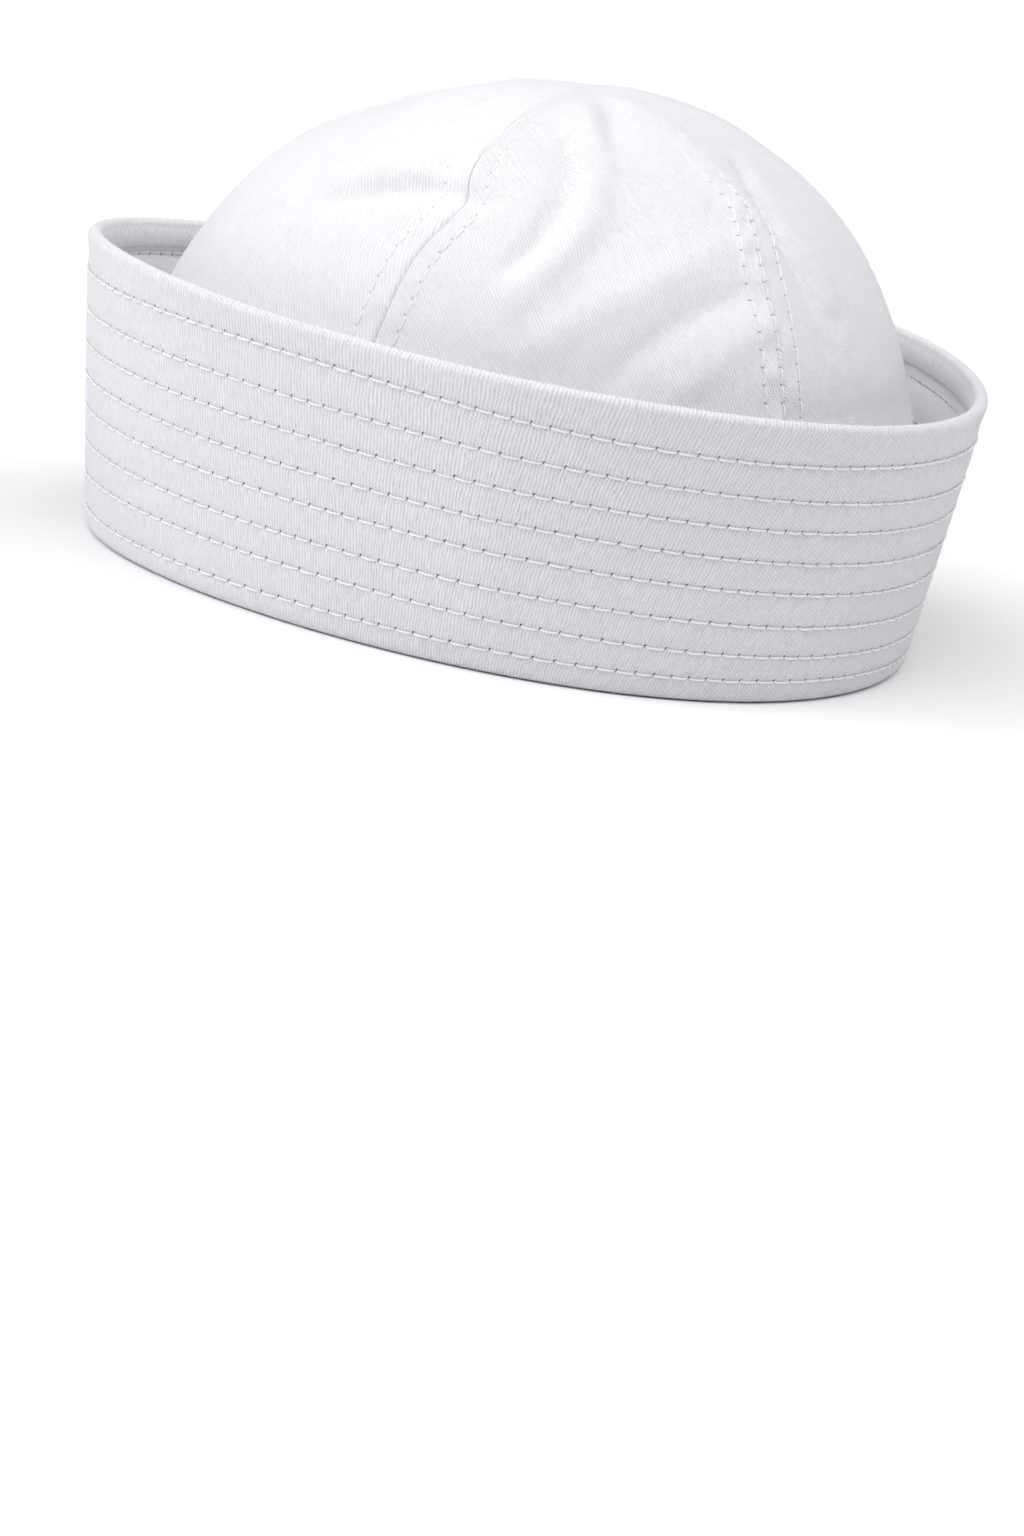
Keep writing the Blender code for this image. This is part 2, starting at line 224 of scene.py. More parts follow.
# Weave
RIB_PITCH = 0.84 * MM
CROWN_TWILL_PITCH = 0.72 * MM
CROWN_TWILL_LEAN = math.radians(30)  # the diagonal leans this far left of the panel's grain
RIB_LEAN = 0.06  # the brim's ribs lean by this slope, and more towards the front and back
RIB_LEAN_SWING = 0.36
BRIM_LINES = 0.46  # how strongly the weave's lines stand out
CROWN_LINES = 0.70
LINE_DRIFT = 2.0  # they wander over this many pitches
FLOATS = 0.14  # how strongly the single floats of the yarn stand out
FLOATS_ALONG = 0.9  # how many there are to a line's pitch, along the yarn and across it
FLOATS_ACROSS = 0.5
SLUBS = 0.62  # how strongly the yarn's thick and thin places stand out
SLUB_STRETCH = 0.30  # along the yarn they are longer, by one over this
UNEVEN = 0.34  # how strong the cloth's fine unevenness is
CONTRAST = 1.1  # how much of all this shows in the colour, as painted shade in the weave's hollows
MOTTLE = 0.16  # soft darker places
SHADED = 0.387  # the share of the darker colour in the cloth, the painted shade of the weave's hollows
# The painted shade of a needle hole: a dark, slanting spot
HOLE_RADIUS = 0.33 * MM
HOLE_EDGE = (0.45, 1.35)  # its soft edge, as shares of its radius
HOLE_UP = 0.18  # millimetres from the row to its holes
HOLE_SHEAR = 0.45  # a hole is pulled into a slanting tick
HOLE_LENGTH = 1.4
UNSEWN = 9.0  # the distance in millimetres that is written where there is no row

# The cotton's lighter and darker colours, mixed by the weave: the darker one is painted shade in the weave's
# hollows, mixed with the yarn's own uneven tone
BRIM_COTTON = (0.925, 0.914, 0.95)
BRIM_SHADE = (0.615, 0.608, 0.65)
# painted light: the crown's pair is the same cotton as the brim's, painted lighter
CROWN_LIT_COTTON = (0.965, 0.954, 0.988)
CROWN_LIT_WEAVE_SHADE = (0.84, 0.83, 0.872)
# painted shade in the needle holes
BRIM_HOLE_SHADE = (0.05, 0.05, 0.06)
CROWN_HOLE_SHADE = (0.44, 0.43, 0.46)
THREAD_WHITE = (0.98, 0.972, 0.99)
FLOOR_WHITE = (0.93, 0.93, 0.93)

# How finely the cloth is divided
BRIM_COLUMNS = 720
INNER_COLUMNS = 480
ROW_LEVELS = np.array([-1.5, -0.8, -0.35, 0.0, 0.35, 0.8, 1.5]) * MM  # lines beside each row of stitches
LEVELS_BETWEEN = 2  # lines between these and the next row's
LEVELS_ABOVE = 4  # lines between the top row's and the rim
PANEL_ROWS = 150
PANEL_CLOSER = 1.08  # above 1, they lie closer together towards the top
PANEL_MIDDLE = 44
# A panel's columns beside a seam, as shares of the way to the row of stitches
PANEL_EDGE = np.array([
    0, 0.04, 0.09, 0.15, 0.25, 0.4, 0.55, 0.7, 0.82, 0.91, 0.96, 1.0, 1.04, 1.1, 1.25, 1.5,
])
PANEL_INSIDE_EVERY = 2  # the inside has every second line

# The camera
CAMERA_AZIMUTH = 95.0
CAMERA_ELEVATION = 14.78
CAMERA_ROLL = -9.285
CAMERA_DISTANCE = 1.1968
CAMERA_ACROSS = 4.8 * MM  # how far the view's middle lies from the aim, across and up
CAMERA_UP = 103.3 * MM
CAMERA_AIM = np.array([0.0, 0.0, 60.0 * MM])
CAMERA_LENS = 111.09

# The studio's lamps, all broad and soft, in degrees. The main one stands at the upper left of the picture.
LAMP_COLUMNS = ("name", "turn", "elevation", "softness", "strength")
LAMPS = (
    ("main_lamp", -45.0, 60.0, 65.0, 2.03),
    ("left_lamp", -80.0, 20.0, 50.0, 0.92),
    ("right_lamp", 90.0, 60.0, 60.0, 1.58),
)
SKY_STRENGTH = 0.05
FLOOR_REACH = 12.0
FLOOR_DROP = 0.05 * MM
BACKDROP_RADIUS = 11.9
BACKDROP_HEIGHT = 14.0
BACKDROP_SIDES = 96

BRIM_WALL = 2 * BRIM_PLY + CLEARANCE
CROWN_INSET = BRIM_WALL + CLEARANCE
FOOT_WIDTH = CROWN_INSET + CROWN_CLOTH + SEAM_EXTRA + CLEARANCE + BRIM_PLY
BEAD_RADIUS = (3 * BRIM_PLY + 2 * CLEARANCE) / 2


def rows_of(table, columns):
    """The table's rows as dictionaries."""
    return [dict(zip(columns, row)) for row in table]


def smooth_step(value, low, high):
    """0 below the low value and 1 above the high one, with a soft change between."""
    share = np.clip((value - low) / (high - low), 0.0, 1.0)
    return share * share * (3 - 2 * share)


def hump(distance, width):
    """1 on the line, falling to 0 away from it."""
    return np.exp(-((distance / width) ** 2))


def foot_oval(turn, outward=0.0):
    """A point of the foot's oval, moved outward square to it."""
    sine, cosine = np.sin(turn), np.cos(turn)
    x = HALF_WIDTH * cosine * (1 + BACK_FULLNESS * sine)
    y = HALF_LENGTH * sine
    along_x = HALF_WIDTH * (-sine + BACK_FULLNESS * (cosine**2 - sine**2))
    along_y = HALF_LENGTH * cosine
    length = np.hypot(along_x, along_y)
    return x + outward * along_y / length, y - outward * along_x / length


def ring_points(turn, outward, z):
    """Points beside the foot's oval, from how far out and how high they are."""
    x, y = foot_oval(turn, outward)
    return np.stack(np.broadcast_arrays(x, y, z), -1)


def way_round(turn):
    """The share of the way round the foot's oval, from 0 at the wearer's left."""
    fine = np.linspace(-math.pi, 3 * math.pi, 2 * OVAL_STEPS + 1)
    x, y = foot_oval(fine)
    length = np.concatenate([[0.0], np.cumsum(np.hypot(np.diff(x), np.diff(y)))])
    length -= np.interp(0.0, fine, length)
    return np.interp(turn, fine, length / np.interp(2 * math.pi, fine, length))


def perimeter(outward):
    """The length round the foot's oval, this far outward."""
    x, y = foot_oval(np.linspace(0, 2 * math.pi, OVAL_STEPS + 1), outward)
    return float(np.hypot(np.diff(x), np.diff(y)).sum())


def rim_height(turn):
    """The height of the rim's top."""
    lift = -FRONT_RISE * np.sin(turn) - RIM_TWIST * np.sin(2 * turn) + RIM_WAVE * np.sin(3 * turn)
    return BRIM_HEIGHT + lift


def flare(z, top):
    """How far the brim leans out at a height."""
    return BRIM_FLARE * (z - FOOT_RADIUS) / (top - FOOT_RADIUS)


def swell(turn, z):
    """How far the soft wall stands out of its even shape."""
    out = np.zeros(np.broadcast(turn, z).shape)
    for row in rows_of(SWELLS, SWELL_COLUMNS):
        away = (turn - math.radians(row["turn"]) + math.pi) % (2 * math.pi) - math.pi
        blunt = np.hypot(away, math.radians(row["bluntness"]))
        out += row["amount"] * np.exp(-blunt / math.radians(row["reach"]))
    return out * smooth_step(z, FOOT_RADIUS, SWELL_HEIGHT)


def wall_height(share, top):
    """The height at a share of the wall, from 0 at the bend of the foot to 1 at the roll of the rim."""
    return FOOT_RADIUS + (top - BEAD_RADIUS - FOOT_RADIUS) * share


ROW_LIST = rows_of(BRIM_ROWS, ROW_COLUMNS)


def row_height(row, turn):
    """The height of a row of stitches on the brim."""
    sway = row["once"] * np.sin(turn) + row["twice"] * np.sin(2 * turn)
    sway = sway + row["twice_later"] * np.cos(2 * turn) + row["four_times"] * np.sin(4 * turn)
    return rim_height(turn) * (1 - row["share"] - sway)


def row_stitches(row):
    """How many stitches a row of the brim has."""
    return round(perimeter(flare(BRIM_HEIGHT * (1 - row["share"]), BRIM_HEIGHT)) / BRIM_STITCH)


def stitches_passed(number, turn):
    """How many of a row's stitches lie before a turn."""
    uneven = PITCH_SWING * np.sin(PITCH_WAVES * turn + PITCH_SHIFT * number)
    return way_round(turn) * row_stitches(ROW_LIST[number]) + number * ROW_SHIFT + uneven


def sewn_rows(turn, z):
    """How far each row lies below a point, and how many of its stitches lie before this turn."""
    below = [z - row_height(row, turn) for row in ROW_LIST]
    passed = [np.broadcast_to(stitches_passed(number, turn), z.shape) for number in range(len(ROW_LIST))]
    return np.array(below), np.array(passed)


def sewn_relief(turn, z):
    """How far the cloth of the brim puffs out between the rows and sinks in at them."""
    below, passed = sewn_rows(turn, z)
    to_hole = (passed - np.round(passed)) * BRIM_STITCH
    pinch = 1 - PINCH + PINCH * hump(to_hole, PINCH_WIDTH)
    groove = (GROOVE_DEPTH * hump(below, GROOVE_WIDTH) * pinch).sum(axis=0)
    return PUFF * smooth_step(np.abs(below).min(axis=0), 0, PUFF_WIDTH) - groove


def wall_levels(turn, top):
    """The heights at which the wall is divided, from its foot up: closely at the rows of stitches."""
    marks = [row_height(row, turn) for row in ROW_LIST[::-1]]
    ends = [(mark + ROW_LEVELS[0], LEVELS_BETWEEN) for mark in marks[1:]]
    ends.append((top - BEAD_RADIUS, LEVELS_ABOVE))
    levels = [FOOT_RADIUS + 0 * turn]
    for mark, (end, count) in zip(marks, ends):
        levels += [mark + step for step in ROW_LEVELS]
        levels += list(np.linspace(mark + ROW_LEVELS[-1], end, count + 2)[1:-1])
    return levels + [top - BEAD_RADIUS]


def outer_cloth(turn):
    """The outer ply's closed section at each turn: how far outward and how high each of its lines lies."""
    top = rim_height(turn)
    outward, height = [], []

    def add(out, z):
        """Adds a line all round the brim."""
        out, z, _ = np.broadcast_arrays(out, z, turn)
        outward.append(out + swell(turn, z))
        height.append(z)

    def add_arc(centre, radius, start, end, steps):
        """Adds the lines of an arc of the section, between two angles."""
        for angle in np.radians(np.linspace(start, end, steps + 1)):
            add(centre[0] + radius * math.cos(angle), centre[1] + radius * math.sin(angle))

    lip_end = top - LIP_DEPTH + LIP_WAVE * np.sin(LIP_WAVES * turn + 1)
    roll = (flare(top - BEAD_RADIUS, top) - BEAD_RADIUS, top - BEAD_RADIUS)
    half = BRIM_PLY / 2
    hem = (flare(lip_end, top) - 2 * BEAD_RADIUS + half, lip_end + half)
    foot = (-FOOT_RADIUS, FOOT_RADIUS)
    facing = (FACING_RADIUS - FOOT_WIDTH, FACING_RADIUS)
    facing_top = (half - FOOT_WIDTH, FACING_HEIGHT - half)

    add_arc(hem, half, 330, 180, 5)
    for share in np.linspace(0, 1, 9)[1:-1]:
        z = hem[1] + (roll[1] - hem[1]) * share
        bulge = LIP_BULGE * math.sin(math.pi * share) ** LIP_ROUNDING
        add(flare(z, top) - 2 * BEAD_RADIUS - bulge, z)
    add_arc(roll, BEAD_RADIUS, 180, 0, 14)
    for z in wall_levels(turn, top)[::-1][1:]:
        down = top - BEAD_RADIUS - z
        dip = RIM_DIP * hump(down - RIM_DIP_DEPTH, RIM_DIP_DEPTH) * smooth_step(down, 0, RIM_DIP_DEPTH)
        add(flare(z, top) + sewn_relief(turn, z) * smooth_step(down, 0, RIM_DIP_DEPTH) - dip, z)
    add_arc(foot, FOOT_RADIUS, -11, -90, 8)
    add_arc(facing, FACING_RADIUS, -90, -180, 4)
    add(-FOOT_WIDTH, FACING_HEIGHT * 0.4)
    add(-FOOT_WIDTH, FACING_HEIGHT * 0.7)
    add_arc(facing_top, half, 180, 0, 4)
    add_arc(facing, FACING_RADIUS - BRIM_PLY, -180, -90, 2)
    add_arc(foot, FOOT_RADIUS - BRIM_PLY, -90, 0, 3)
    for share in (0.25, 0.5, 0.75):
        z = wall_height(share, top)
        add(flare(z, top) - BRIM_PLY, z)
    add_arc(roll, BEAD_RADIUS - BRIM_PLY, 0, 180, 4)
    return np.array(outward), np.array(height)


def inner_cloth(turn):
    """The inner ply's closed section at each turn. Its seen side is the one towards the crown."""
    top = rim_height(turn)
    outward, height = [], []
    for z in wall_levels(turn, top):
        fade = smooth_step(z, FOOT_RADIUS, INNER_SEWN_HEIGHT)
        fade = fade * smooth_step(top - BEAD_RADIUS - z, 0, RIM_DIP_DEPTH)
        outward.append(flare(z, top) - BRIM_WALL - sewn_relief(turn, z) * fade + swell(turn, z))
        height.append(z)
    for share in (1.0, 0.5, 0.0):
        z = wall_height(share, top)
        outward.append(flare(z, top) - BRIM_PLY - CLEARANCE + swell(turn, z))
        height.append(z)
    return np.array(outward), np.array(height)


def climb_angle(z):
    """The angle of the crown's rounded section at a height."""
    return math.asin((z / CROWN_HEIGHT) ** (CROWN_FULLNESS / 2))


LOW_ANGLE = climb_angle(FOOT_RADIUS)
HIGH_ANGLE = math.acos((TIP_RADIUS / HALF_LENGTH) ** (CROWN_FULLNESS / 2))


def crown_point(turn, climb):
    """A point of the crown's smooth outer surface."""
    angle = LOW_ANGLE + (HIGH_ANGLE - LOW_ANGLE) * climb
    rise = np.sin(angle) ** (2 / CROWN_FULLNESS)
    reach = np.cos(angle) ** (2 / CROWN_FULLNESS)
    x, y = foot_oval(turn, -CROWN_INSET)
    sine = np.sin(turn)
    rounding = (1 + BACK_FULLNESS * reach * sine) / (1 + BACK_FULLNESS * sine)
    return np.stack([x * reach * rounding, y * reach + CROWN_LEAN * rise**2, CROWN_HEIGHT * rise], -1)


def crown_frame(turn, climb):
    """The smooth surface's point, its outward normal, and its length per radian of turn."""
    small = 1e-4
    here = crown_point(turn, climb)
    round_it = (crown_point(turn + small, climb) - crown_point(turn - small, climb)) / (2 * small)
    up_it = crown_point(turn, climb + small) - crown_point(turn, climb - small)
    normal = np.cross(round_it, up_it)
    normal /= np.linalg.norm(normal, axis=-1, keepdims=True)
    return here, normal, np.linalg.norm(round_it, axis=-1)


def seam_turn(seam, climb):
    """Where a seam lies at a climb, in radians."""
    swing = seam["drift"] * climb + seam["bow"] * np.sin(math.pi * climb)
    pull = seam["pull"] * np.exp(-(((climb - seam["pull_climb"]) / PULL_LENGTH) ** 2))
    return np.radians(seam["turn"] + swing + pull)


def fold_line(fold):
    """Points of the smooth surface along a fold."""
    s = np.linspace(0, 1, FOLD_LINE_STEPS + 1)
    weights = {"start": (1 - s) * (1 - 2 * s), "middle": 4 * s * (1 - s), "end": s * (2 * s - 1)}
    turn = sum(weight * fold[f"{place}_turn"] for place, weight in weights.items())
    climb = sum(weight * fold[f"{place}_climb"] for place, weight in weights.items())
    return crown_point(np.radians(turn), climb)


def fold_height(points):
    """How far the folds move points of the smooth surface outward."""
    moved = np.zeros(len(points))
    for fold in rows_of(FOLDS, FOLD_COLUMNS):
        line = fold_line(fold)
        nearest = np.full(len(points), np.inf)
        place = np.zeros(len(points))
        for step, (start, end) in enumerate(zip(line[:-1], line[1:])):
            along = end - start
            share = np.clip((points - start) @ along / (along @ along), 0, 1)
            distance = np.linalg.norm(points - start - share[:, None] * along, axis=1)
            place = np.where(distance < nearest, (step + share) / FOLD_LINE_STEPS, place)
            nearest = np.minimum(nearest, distance)
        taper = 1 - (2 * place - 1) ** 4
        moved += fold["height"] * CROWN_HEIGHT * taper * hump(nearest, fold["width"] * CROWN_HEIGHT)
    return moved * smooth_step(points[:, 2] / CROWN_HEIGHT, *FOLDS_GROW)


SEAM_LIST = rows_of(SEAMS, SEAM_COLUMNS)


def row_offset(row, climb, side_turn):
    """How far a row of stitches lies from its seam: less where the panel is narrow."""
    width = side_turn * crown_frame(0.0 * climb, climb)[2]
    most = abs(row) / abs(LEFT_ROW) * ROW_MOST * width
    return np.sign(row) * np.minimum(abs(row), np.maximum(most, 0))


def panel_turn(number):
    """The turn between a seam and the next, in radians."""
    after = SEAM_LIST[(number + 1) % len(SEAM_LIST)]["turn"]
    return math.radians((after - SEAM_LIST[number]["turn"]) % 360)


def seam_relief(turn, climb, per_radian):
    """How far the seams' allowances, creases, rows and puckers move the cloth."""
    relief = np.zeros(np.broadcast(turn, climb).shape)
    for number, seam in enumerate(SEAM_LIST):
        away = (turn - seam_turn(seam, climb) + math.pi) % (2 * math.pi) - math.pi
        distance = away * per_radian
        for row, side in ((LEFT_ROW, -1), (RIGHT_ROW, 1)):
            own = np.where(np.sign(away) == side, 1.0, 0.0)
            side_turn = panel_turn(number if side > 0 else number - 1)
            edge = np.abs(row_offset(row, climb, side_turn)) + 1e-6  # never zero
            share = np.abs(distance) / edge
            band = BAND_RISE * (1 - smooth_step(share, *BAND_ENDS))
            groove = ROW_GROOVE * hump(np.abs(distance) - edge, ROW_WIDTH)
            phase = 2 * math.pi * SEAM_LENGTH * climb / PUCKER_LENGTH + side + number
            wave = np.cos(phase + PUCKER_SWAY * np.sin(PUCKER_SWAY_RATE * phase))
            pucker = seam["pucker"] * wave * np.sin(math.pi * np.clip(share, 0, 1)) ** 2
            pucker = pucker * (1.0 if side < 0 else RIGHT_PUCKER)
            narrow = smooth_step(edge, 0, abs(row))
            relief += own * narrow * (seam["marks"] * (band - groove) + pucker)
        relief -= SEAM_DEPTH * hump(distance, SEAM_WIDTH)
    return relief * (1 - (1 - SEAM_FADED) * smooth_step(climb, *SEAM_FADES))


def crown_surface(turn, climb):
    """The crown's finished outer surface, its smooth normals, and the surface with its folds alone."""
    turn, climb = np.broadcast_arrays(np.asarray(turn, float), np.asarray(climb, float))
    shape = turn.shape
    turn, climb = turn.ravel(), climb.ravel()
    points, normals, per_radian = crown_frame(turn, climb)
    base = points + normals * fold_height(points)[:, None]
    above = smooth_step(points[:, 2], *RELIEF_HEIGHTS)
    fine = base + normals * (seam_relief(turn, climb, per_radian) * above)[:, None]
    return fine.reshape(*shape, 3), normals.reshape(*shape, 3), base.reshape(*shape, 3)


class SeamRow:
    """One row of stitches beside a seam, from the foot to the top."""

    def __init__(self, number, row):
        self.seam = SEAM_LIST[number]
        self.climbs = np.linspace(*ROW_CLIMBS, ROW_POINTS)
        side_turn = panel_turn(number if row > 0 else number - 1)
        per_radian = crown_frame(0.0 * self.climbs, self.climbs)[2]
        self.offsets = row_offset(row, self.climbs, side_turn)
        self.turns = seam_turn(self.seam, self.climbs) + self.offsets / per_radian
        points, self.normals, _ = crown_surface(self.turns, self.climbs)
        steps = np.linalg.norm(np.diff(points, axis=0), axis=1)
        self.length = np.concatenate([[0.0], np.cumsum(steps)])
        self.points = points
        self.start = FIRST_STITCH + ROW_SHIFT * (number + 3 * abs(row) / MM)  # no two rows start alike
        self.marks = self.seam["marks"] * (1 - smooth_step(self.climbs, *ROWS_FADE))

    def passed(self, climb):
        """How many stitches lie below a climb."""
        return self.start + np.interp(climb, self.climbs, self.length) / CROWN_STITCH

    def at(self, length):
        """The points and outward directions at lengths along the row."""
        points = [np.interp(length, self.length, self.points[:, axis]) for axis in range(3)]
        normals = [np.interp(length, self.length, self.normals[:, axis]) for axis in range(3)]
        return np.stack(points, -1), np.stack(normals, -1)

    def sink(self, length):
        """How deep the thread lies at lengths along the row: deeper where its marks are weak."""
        marks = np.interp(length, self.length, self.marks)
        return CROWN_THREAD_SINK + SUNK * (1 - marks)[..., None]


CROWN_ROWS = {
    (number, row): SeamRow(number, row)
    for number, seam in enumerate(SEAM_LIST)
    for row in (LEFT_ROW, THIRD_ROW, RIGHT_ROW)
    if seam["third_row"] or row != THIRD_ROW
}


def new_piece(name, points, faces, maps, material):
    """A mesh piece with its UV maps, a pair of numbers for each corner of each face."""
    data = bpy.data.meshes.new(name)
    data.from_pydata(points.reshape(-1, 3).tolist(), [], faces.tolist())
    for map_name, corners in maps.items():
        layer = data.uv_layers.new(name=map_name)
        layer.data.foreach_set("uv", corners.astype(np.float32).ravel())
    data.shade_smooth()
    data.materials.append(material)
    data.update()
    made = bpy.data.objects.new(name, data)
    bpy.context.scene.collection.objects.link(made)
    return made


def grid_faces(rows, columns, wide, wrap_rows=False, wrap_columns=False):
    """The corners of a grid's quads, as vertex numbers and as places in the grid."""
    r, c = np.meshgrid(np.arange(rows), np.arange(columns), indexing="ij")
    places = np.stack([np.stack([r, c], -1), np.stack([r, c + 1], -1),
                       np.stack([r + 1, c + 1], -1), np.stack([r + 1, c], -1)], 2).reshape(-1, 4, 2)
    row = places[..., 0] % rows if wrap_rows else places[..., 0]
    column = places[..., 1] % columns if wrap_columns else places[..., 1]
    return row * wide + column, places


def stitch_corners(places, beside, passed, marks=None):
    """Two pairs of numbers for each corner of a face, from the row of stitches that is nearest to the face:
    how many of its stitches lie before and how many millimetres it is away, then how strong its marks are.
    """
    row, column = places[..., 0] % beside.shape[1], places[..., 1]
    corners = beside[:, row, column]
    nearest = np.argmin(np.abs(corners.mean(axis=-1)), axis=0)
    each = np.arange(len(nearest))
    pairs = [passed[:, row, column][nearest, each], corners[nearest, each] / MM]
    if marks is None:
        return np.stack(pairs, -1), np.ones(places.shape)
    strength = marks[:, row, column][nearest, each]
    return np.stack(pairs, -1), np.stack([strength, 0 * strength], -1)


def brim_piece(name, section, columns, material, outside):
    """A ply of the brim, from its closed section."""
    turn = np.linspace(0, 2 * math.pi, columns + 1)
    outward, height = section(turn)
    points = ring_points(turn, outward, height)
    below, passed = sewn_rows(turn, height)
    lean = -RIB_LEAN - RIB_LEAN_SWING * np.sin(turn)
    ribs = round(perimeter(0.0) / RIB_PITCH)
    along = way_round(turn) * ribs * RIB_PITCH + lean * (height - BRIM_HEIGHT / 2)
    weave = np.stack([along, height], -1)
    faces, places = grid_faces(len(height), columns, columns, wrap_rows=True, wrap_columns=True)
    if outside:
        faces, places = faces[:, ::-1], places[:, ::-1]
    row, column = places[..., 0] % len(height), places[..., 1]
    side = 1 if outside else -1
    stitch, marks = stitch_corners(places, side * below, passed)
    maps = {"weave": weave[row, column], "stitch": stitch, "marks": marks}
    return new_piece(name, points[:, :-1], faces, maps, material)


def panel_columns(left_edge, right_edge, width):
    """Places across a panel, closely spaced beside both seams, as distances from its left seam."""
    left, right = PANEL_EDGE * left_edge, width - PANEL_EDGE[::-1] * right_edge
    middle = np.linspace(left[-1], right[0], PANEL_MIDDLE + 2)[1:-1]
    return np.concatenate([left, middle, right])


def panel_grid(number):
    """The climbs of a gore's lines, and along each line its turns and its distances from the left seam."""
    left, right = SEAM_LIST[number], SEAM_LIST[(number + 1) % len(SEAM_LIST)]
    right = dict(right, turn=right["turn"] + (360 if number == len(SEAM_LIST) - 1 else 0))
    climbs = FINE_TIP * (1 - (1 - np.linspace(0, 1, PANEL_ROWS)) ** PANEL_CLOSER)
    turns, distances = [], []
    wide = panel_turn(number)
    for climb in climbs:
        start, end = seam_turn(left, climb), seam_turn(right, climb)
        per_radian = float(crown_frame((start + end) / 2, climb)[2])
        closing = float(smooth_step(climb, *SEAM_FADES))
        gap = (EDGE_GAP + (CLOSED_GAP - EDGE_GAP) * closing) / 2
        gap = min(gap, GAP_MOST * (end - start) * per_radian)
        width = (end - start) * per_radian - 2 * gap
        left_edge = abs(float(row_offset(RIGHT_ROW, climb, wide)))
        right_edge = abs(float(row_offset(LEFT_ROW, climb, wide)))
        across = panel_columns(left_edge, right_edge, width) + gap
        turns.append(start + across / per_radian)
        distances.append(across)
    return climbs, np.array(turns), np.array(distances)


def panel_piece(number, material):
    """One gore of the crown."""
    climbs, turns, distances = panel_grid(number)
    outer, normals, base = crown_surface(turns, climbs[:, None])

    centre = (turns[:, :1] + turns[:, -1:]) / 2
    per_radian = crown_frame(centre[:, 0], climbs)[2]
    middle = crown_point(centre[:, 0], climbs)
    up = np.concatenate([[0.0], np.cumsum(np.linalg.norm(np.diff(middle, axis=0), axis=1))])
    across = (turns - centre) * per_radian[:, None]
    weave = np.stack([across, np.broadcast_to(up[:, None], turns.shape)], -1)

    keep = np.unique(np.append(np.arange(0, PANEL_ROWS, PANEL_INSIDE_EVERY), PANEL_ROWS - 1))
    inside_distance = np.minimum(distances, distances[:, ::-1])[keep]
    thick = CROWN_CLOTH + SEAM_EXTRA * (1 - smooth_step(inside_distance, *ALLOWANCE_ENDS))
    inner = base[keep] - normals[keep] * thick[..., None]

    rows, columns = turns.shape
    points = np.concatenate([outer.reshape(-1, 3), inner.reshape(-1, 3)])
    outer_faces, outer_places = grid_faces(rows - 1, columns - 1, columns)
    inner_faces, inner_places = grid_faces(len(keep) - 1, columns - 1, columns)
    inner_faces = inner_faces[:, ::-1] + rows * columns
    inner_places = inner_places[:, ::-1]
    stitch, marks = stitch_corners(outer_places, *panel_rows(number, turns, climbs))
    unsewn = np.full(inner_places.shape, UNSEWN)
    inner_weave = weave[keep][inner_places[..., 0], inner_places[..., 1]]
    maps = {
        "weave": np.concatenate([weave[outer_places[..., 0], outer_places[..., 1]], inner_weave]),
        "stitch": np.concatenate([stitch, unsewn]),
        "marks": np.concatenate([marks, 0 * unsewn]),
    }
    faces = np.concatenate([outer_faces, inner_faces])
    return new_piece(f"crown_gore_{number + 1}", points, faces, maps, material)


def panel_rows(number, turns, climbs):
    """Each of a panel's rows: how far it lies beside the points, its stitches below them, and its marks."""
    beside, passed, marks = [], [], []
    after = (number + 1) % len(SEAM_LIST)
    for place in ((number, RIGHT_ROW), (after, LEFT_ROW), (after, THIRD_ROW)):
        if place not in CROWN_ROWS:
            continue
        line = CROWN_ROWS[place]
        per_radian = crown_frame(0.0 * climbs, climbs)[2]
        row_turn = np.interp(climbs, line.climbs, line.turns)
        away = (row_turn[:, None] - turns + math.pi) % (2 * math.pi) - math.pi
        beyond = (climbs < line.climbs[0]) | (climbs > line.climbs[-1])
        beside.append(np.where(beyond[:, None], UNSEWN * MM, away * per_radian[:, None]))
        passed.append(np.broadcast_to(line.passed(climbs)[:, None], turns.shape))
        marks.append(np.broadcast_to(np.interp(climbs, line.climbs, line.marks)[:, None], turns.shape))
    return np.array(beside), np.array(passed), np.array(marks)


def thread_piece(name, rows, material):
    """A piece of many stitches, from each row's points and its outward and sideways directions."""
    centres, outward, sideways = (np.concatenate(arrays) for arrays in zip(*rows))
    count, steps = centres.shape[:2]
    angles = np.linspace(0, 2 * math.pi, THREAD_SIDES, endpoint=False)
    radius = THREAD_RADIUS * STITCH_THICKNESS
    rings = centres[:, :, None] + radius[None, :, None, None] * (
        np.cos(angles)[None, None, :, None] * sideways[:, :, None]
        + np.sin(angles)[None, None, :, None] * outward[:, :, None])
    one_faces, places = grid_faces(steps - 1, THREAD_SIDES, THREAD_SIDES, wrap_columns=True)
    per_stitch = steps * THREAD_SIDES
    faces = (one_faces[None] + per_stitch * np.arange(count)[:, None, None]).reshape(-1, 4)
    along = places[..., 0] / (steps - 1)
    round_it = places[..., 1] / THREAD_SIDES
    corners = np.broadcast_to(np.stack([along, round_it], -1), (count, *places.shape)).reshape(-1, 4, 2)
    return new_piece(name, rings, faces, {"twist": corners}, material)


def stitch_frames(path, starts, length, uneven):
    """Each stitch's points and directions. path(lengths) gives points and outward directions."""
    lengths = starts[:, None] + STITCH_PLACE * length
    points, outward = path(lengths)
    outward = outward / np.linalg.norm(outward, axis=-1, keepdims=True)
    ahead = points[:, -1:] - points[:, :1]
    ahead = ahead / np.linalg.norm(ahead, axis=-1, keepdims=True)
    sideways = np.cross(outward, ahead)
    sideways /= np.linalg.norm(sideways, axis=-1, keepdims=True)
    shift = STITCH_ASIDE[:, None] + STITCH_UNEVEN * uneven[:, None, None]
    centres = points + outward * STITCH_LIFT[:, None] + sideways * shift
    return centres, outward, sideways


